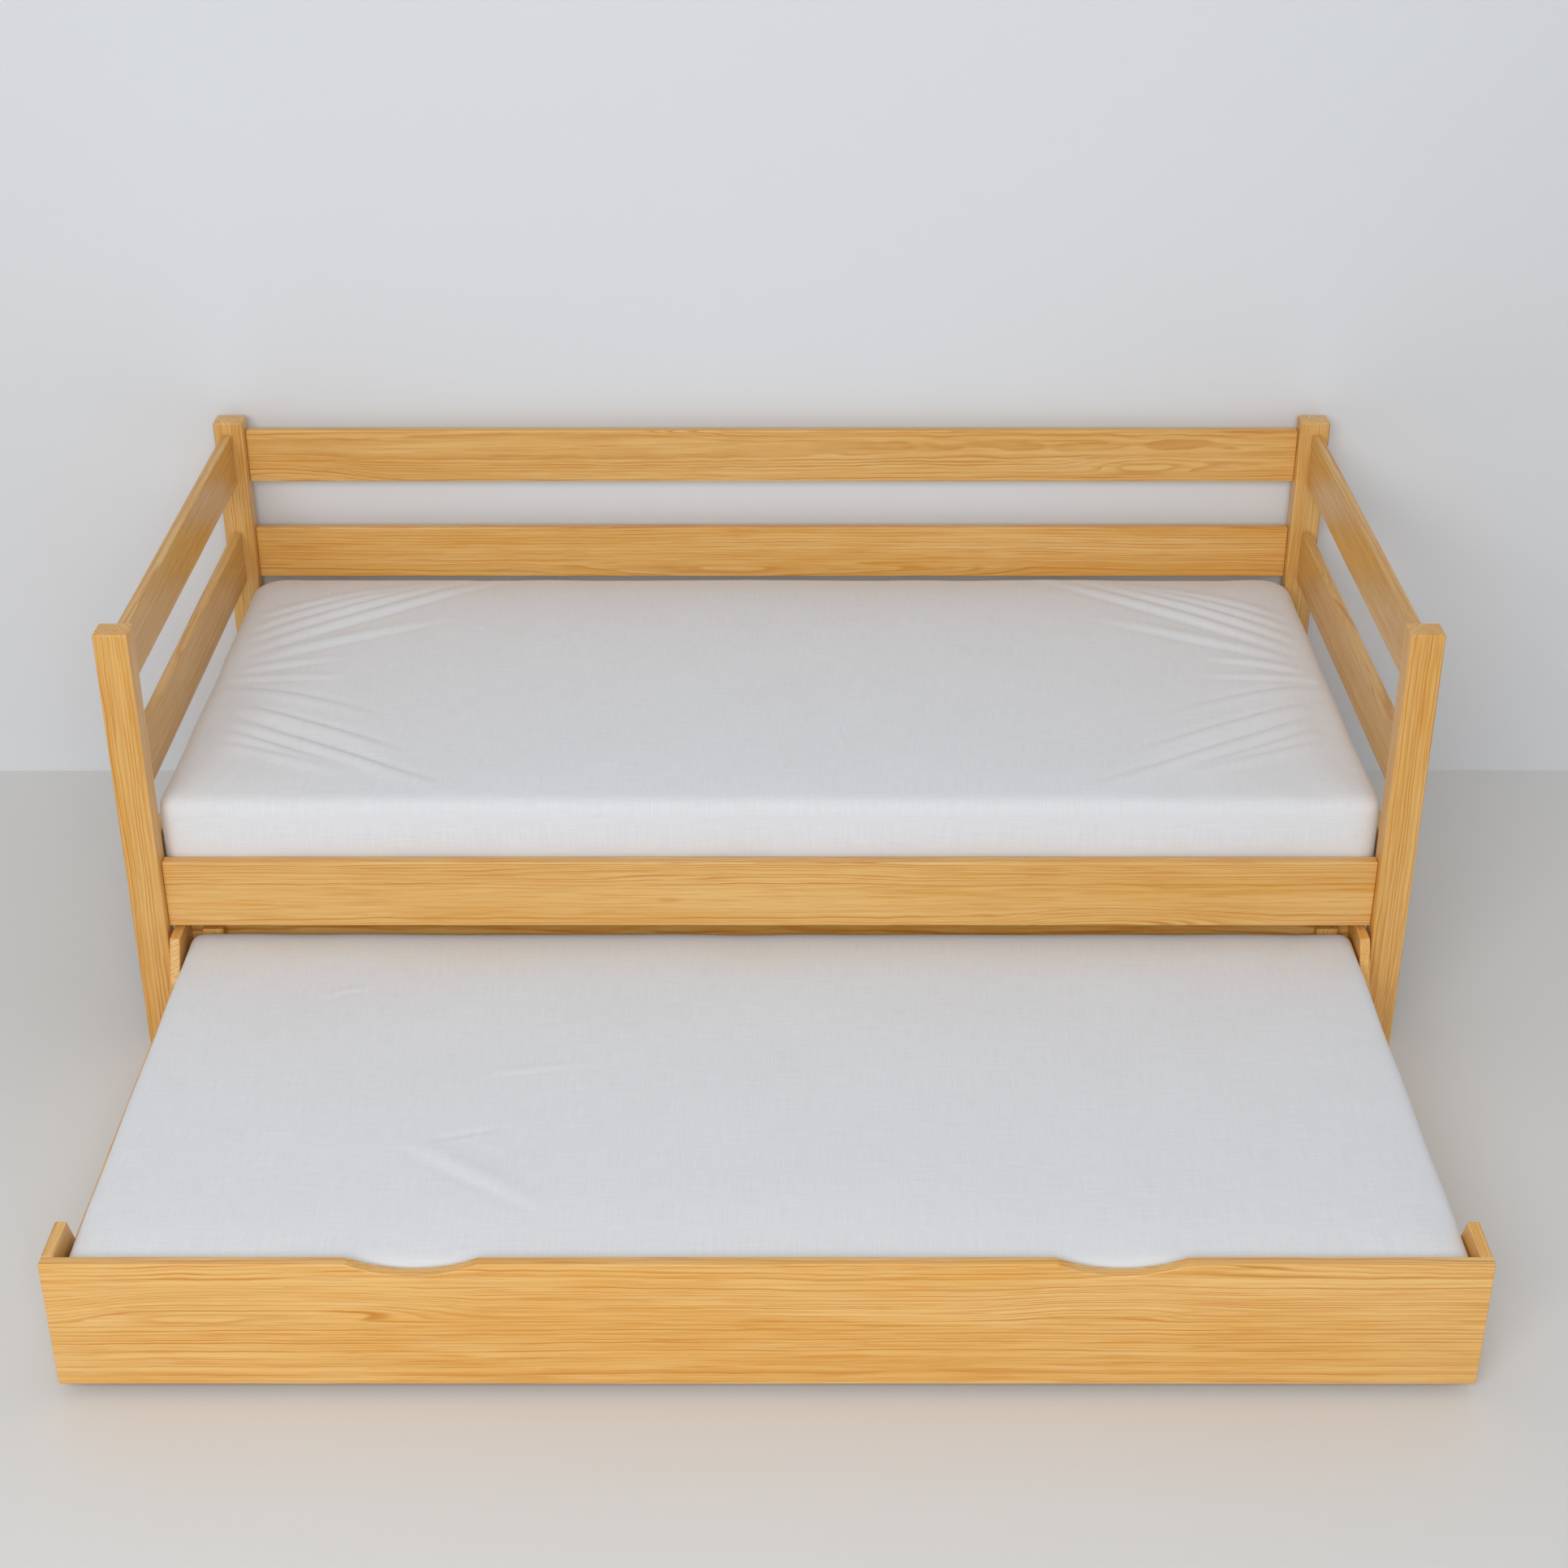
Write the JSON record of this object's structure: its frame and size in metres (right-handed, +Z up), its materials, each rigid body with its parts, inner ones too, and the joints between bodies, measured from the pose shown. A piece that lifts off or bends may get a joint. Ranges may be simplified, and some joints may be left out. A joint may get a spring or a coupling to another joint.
{
  "type": "trundle bed",
  "caption": "Slatted wooden single bed with guard rails on three sides and a low second bed that rolls in under it, each with a mattress.",
  "frame": {"origin": "on the floor, at the centre of the object's bounding box with the trundle rolled out as it stands at rest", "axes": "+X along the bed's length to the right seen from the open side, +Y away from the open side towards the wall, +Z up"},
  "size_m": [2.09, 1.819, 0.7725],
  "materials": {
    "pine": "clear satin lacquer on honey-coloured pine, straight grain along each board",
    "pine_batten": "planed bare pine",
    "sheet": "white woven cotton fitted sheet over a foam mattress",
    "zinc_steel": "zinc-plated",
    "roller_plastic": "dark grey nylon"
  },
  "bodies": {
    "bed": {"back_guard_rail_lower": "pine", "back_guard_rail_upper": "pine", "bed_bolt_back_left": "zinc_steel", "bed_bolt_back_right": "zinc_steel", "bed_bolt_front_left": "zinc_steel", "bed_bolt_front_right": "zinc_steel", "bed_ledger_back": "pine_batten", "bed_ledger_front": "pine_batten", "bed_mattress": "sheet", "bed_rail_back": "pine", "bed_rail_front": "pine", "bed_slat_01": "pine_batten", "bed_slat_02": "pine_batten", "bed_slat_03": "pine_batten", "bed_slat_04": "pine_batten", "bed_slat_05": "pine_batten", "bed_slat_06": "pine_batten", "bed_slat_07": "pine_batten", "bed_slat_08": "pine_batten", "bed_slat_09": "pine_batten", "bed_slat_10": "pine_batten", "bed_slat_11": "pine_batten", "bed_slat_12": "pine_batten", "end_rail_left": "pine", "end_rail_right": "pine", "left_guard_rail_lower": "pine", "left_guard_rail_upper": "pine", "post_back_left": "pine", "post_back_right": "pine", "post_front_left": "pine", "post_front_right": "pine", "right_guard_rail_lower": "pine", "right_guard_rail_upper": "pine"},
    "trundle": {"back_block_left": "pine", "back_block_right": "pine", "roller_bracket_back_left": "zinc_steel", "roller_bracket_back_right": "zinc_steel", "roller_bracket_front_left": "zinc_steel", "roller_bracket_front_right": "zinc_steel", "trundle_back_board": "pine", "trundle_front_board": "pine", "trundle_ledger_back": "pine_batten", "trundle_ledger_front": "pine_batten", "trundle_mattress": "sheet", "trundle_side_left": "pine", "trundle_side_right": "pine", "trundle_slat_01": "pine_batten", "trundle_slat_02": "pine_batten", "trundle_slat_03": "pine_batten", "trundle_slat_04": "pine_batten", "trundle_slat_05": "pine_batten", "trundle_slat_06": "pine_batten", "trundle_slat_07": "pine_batten", "trundle_slat_08": "pine_batten", "trundle_slat_09": "pine_batten", "trundle_slat_10": "pine_batten"},
    "roller_back_left": {"roller_back_left": "roller_plastic"},
    "roller_back_right": {"roller_back_right": "roller_plastic"},
    "roller_front_left": {"roller_front_left": "roller_plastic"},
    "roller_front_right": {"roller_front_right": "roller_plastic"}
  },
  "joints": [
    {"name": "trundle_slide", "type": "slide", "parent": "bed", "child": "trundle", "axis": [0, 1, 0], "range_m": [-0.25, 0.8585]},
    {"name": "roller_back_left_spin", "type": "hinge", "parent": "trundle", "child": "roller_back_left", "pos_m": [-0.9542, -0.108, 0.025], "axis": [1, 0, 0], "continuous": true},
    {"name": "roller_back_right_spin", "type": "hinge", "parent": "trundle", "child": "roller_back_right", "pos_m": [0.9542, -0.108, 0.025], "axis": [1, 0, 0], "continuous": true},
    {"name": "roller_front_left_spin", "type": "hinge", "parent": "trundle", "child": "roller_front_left", "pos_m": [-0.9542, -0.782, 0.025], "axis": [1, 0, 0], "continuous": true},
    {"name": "roller_front_right_spin", "type": "hinge", "parent": "trundle", "child": "roller_front_right", "pos_m": [0.9542, -0.782, 0.025], "axis": [1, 0, 0], "continuous": true}
  ],
  "couplings": [
    {"joint": "roller_back_left_spin", "follows": "trundle_slide", "rad_per_m": -40},
    {"joint": "roller_back_right_spin", "follows": "trundle_slide", "rad_per_m": -40},
    {"joint": "roller_front_left_spin", "follows": "trundle_slide", "rad_per_m": -40},
    {"joint": "roller_front_right_spin", "follows": "trundle_slide", "rad_per_m": -40}
  ]
}
